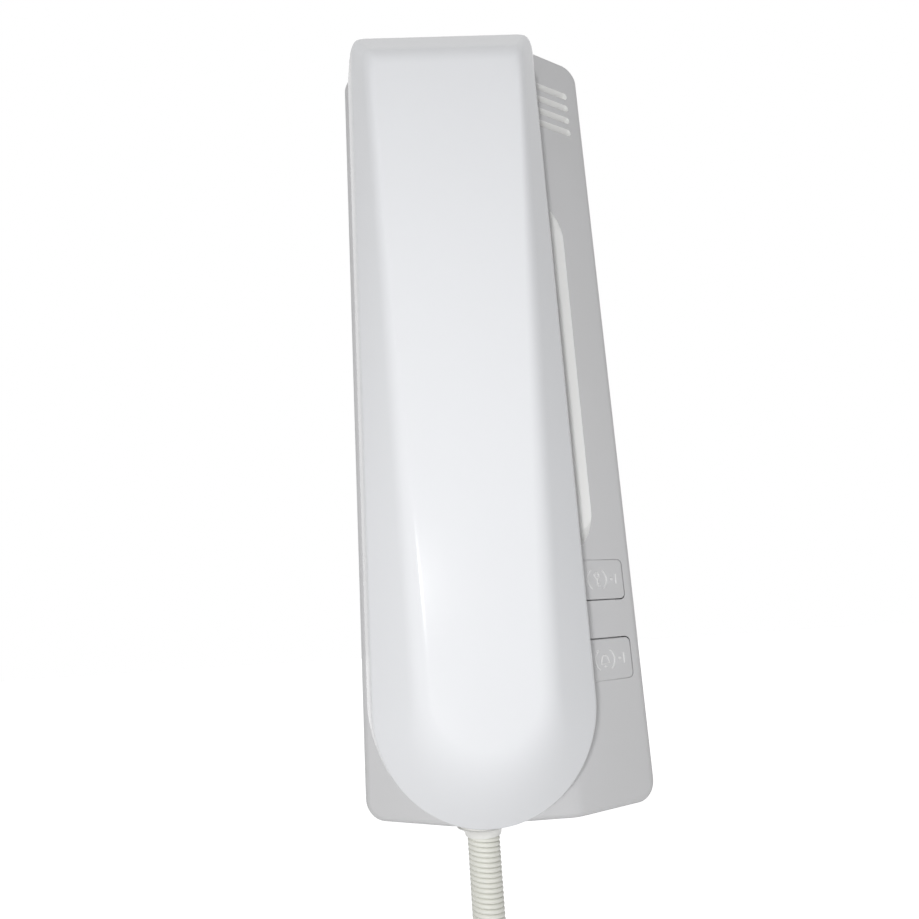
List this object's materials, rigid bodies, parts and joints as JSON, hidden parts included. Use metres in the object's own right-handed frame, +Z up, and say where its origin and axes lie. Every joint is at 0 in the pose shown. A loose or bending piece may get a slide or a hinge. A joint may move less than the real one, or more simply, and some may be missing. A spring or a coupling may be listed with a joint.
{
  "type": "audio intercom handset",
  "caption": "Wall intercom station: wedge-sided base with finger trough, sounder grille and push keys, a lift-off handset with a faceted front, and a curly cord between them.",
  "frame": {"origin": "on the wall plane, midway between the two wall screw holes", "axes": "+X to the right, +Y into the wall, +Z up"},
  "size_m": [0.075, 0.054, 0.3167],
  "materials": {
    "handset_plastic": "glossy white moulded plastic",
    "base_plastic": "satin white moulded plastic",
    "cord_plastic": "satin ivory soft plastic",
    "board": "solder mask over glass laminate",
    "black_plastic": "matte black moulded plastic",
    "terminal_plastic": "matte green moulded plastic",
    "capacitor": "shrink sleeve",
    "capsule_metal": "drawn can",
    "gasket": "soft black rubber",
    "steel": "zinc-plated steel"
  },
  "bodies": {
    "base": {"wall_plate": "base_plastic", "base_cover": "base_plastic", "circuit_board": "board", "capacitors": "capacitor", "audio_chip": "black_plastic", "diodes": "black_plastic", "terminal_block": "terminal_plastic", "terminal_screws": "steel", "sounder": "base_plastic", "hook_pin": "steel", "hook_spring": "steel", "hook_switch": "black_plastic", "key_switches": "black_plastic", "cover_screws": "steel", "board_screws": "steel", "base_gland": "cord_plastic", "curly_cord": "cord_plastic"},
    "handset": {"handset_front": "handset_plastic", "handset_back": "handset_plastic", "ear_capsule": "black_plastic", "ear_gasket": "gasket", "mic_capsule": "capsule_metal", "mic_boot": "gasket", "handset_screws": "steel", "handset_gland": "cord_plastic"},
    "hook": {"hook_lever": "base_plastic"},
    "door_key": {"door_key": "base_plastic"},
    "call_key": {"call_key": "base_plastic"}
  },
  "joints": [
    {"name": "handset_lift", "type": "slide", "parent": "base", "child": "handset", "axis": [0, -0.7071, 0.7071], "range_m": [0, 0.03], "deforming": ["curly_cord"]},
    {"name": "hook_swing", "type": "hinge", "parent": "base", "child": "hook", "pos_m": [-0.0072, -0.013, -0.096], "axis": [1, 0, 0], "range_deg": [0, 9.1]},
    {"name": "door_key_press", "type": "slide", "parent": "base", "child": "door_key", "axis": [0, 1, 0], "range_m": [0, 0.0015], "stiffness_N_per_m": 900},
    {"name": "call_key_press", "type": "slide", "parent": "base", "child": "call_key", "axis": [0, 1, 0], "range_m": [0, 0.0015], "stiffness_N_per_m": 900}
  ],
  "couplings": [
    {"joint": "hook_swing", "follows": "handset_lift", "rad_per_m": 5.2}
  ]
}
